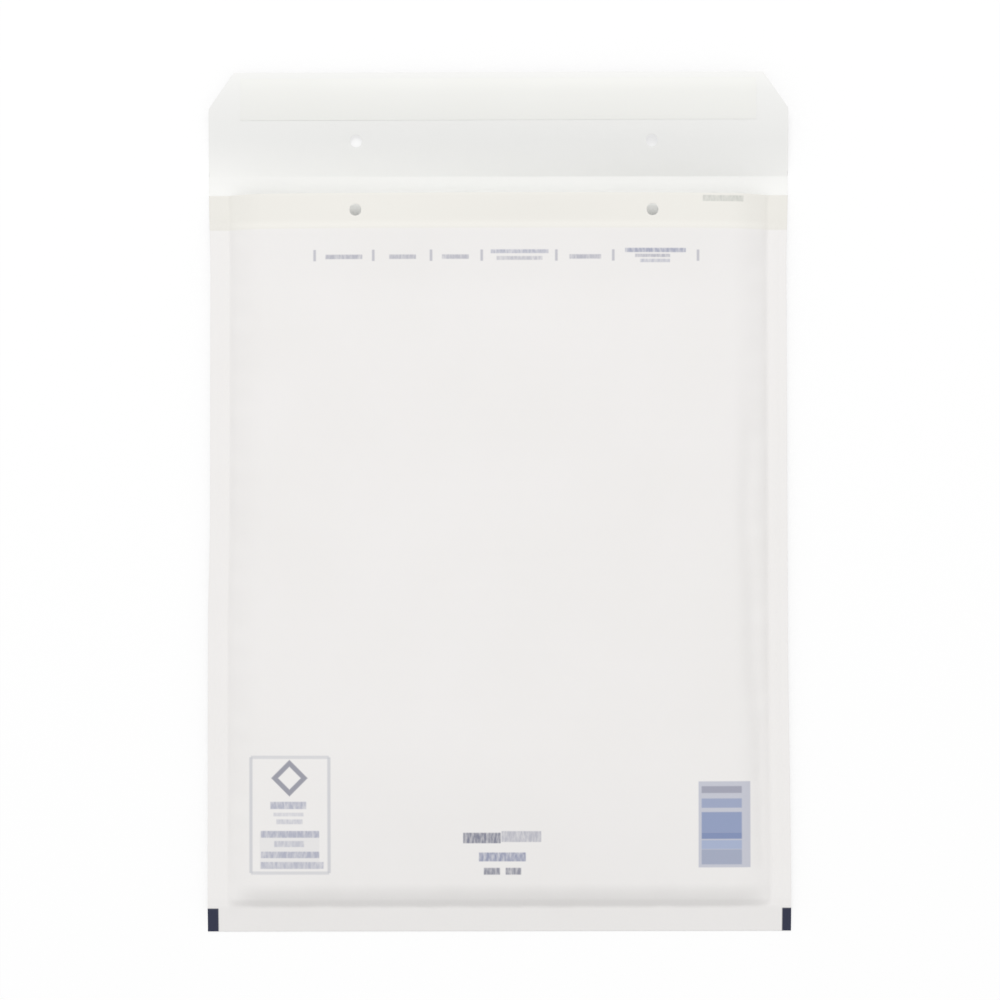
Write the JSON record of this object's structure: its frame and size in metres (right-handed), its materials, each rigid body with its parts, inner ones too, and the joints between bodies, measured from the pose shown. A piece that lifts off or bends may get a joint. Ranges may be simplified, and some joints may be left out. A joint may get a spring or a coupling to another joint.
{
  "type": "padded envelope",
  "caption": "White padded envelope lined with bubble film, lying on its back with the flap open: bevelled flap corners, punched flap and lip, flat side seams and bottom strip.",
  "frame": {"origin": "centre of the bounding box's base, on the outer face of the back panel", "axes": "+Y from the bottom fold to the flap's free edge, +Z out of the front panel, +X to the right as seen from the front"},
  "size_m": [0.29, 0.4288, 0.0158],
  "materials": {
    "white_paper": "matte white paper with a faint sheen",
    "bubble_film": "clear glossy film",
    "glue": "tacky clear glue",
    "liner_film": "smooth silicone-coated white strip"
  },
  "bodies": {
    "root": {"paper_envelope": "white_paper", "bubble_lining": "bubble_film", "adhesive_strip": "glue", "release_liner": "liner_film"}
  },
  "joints": []
}
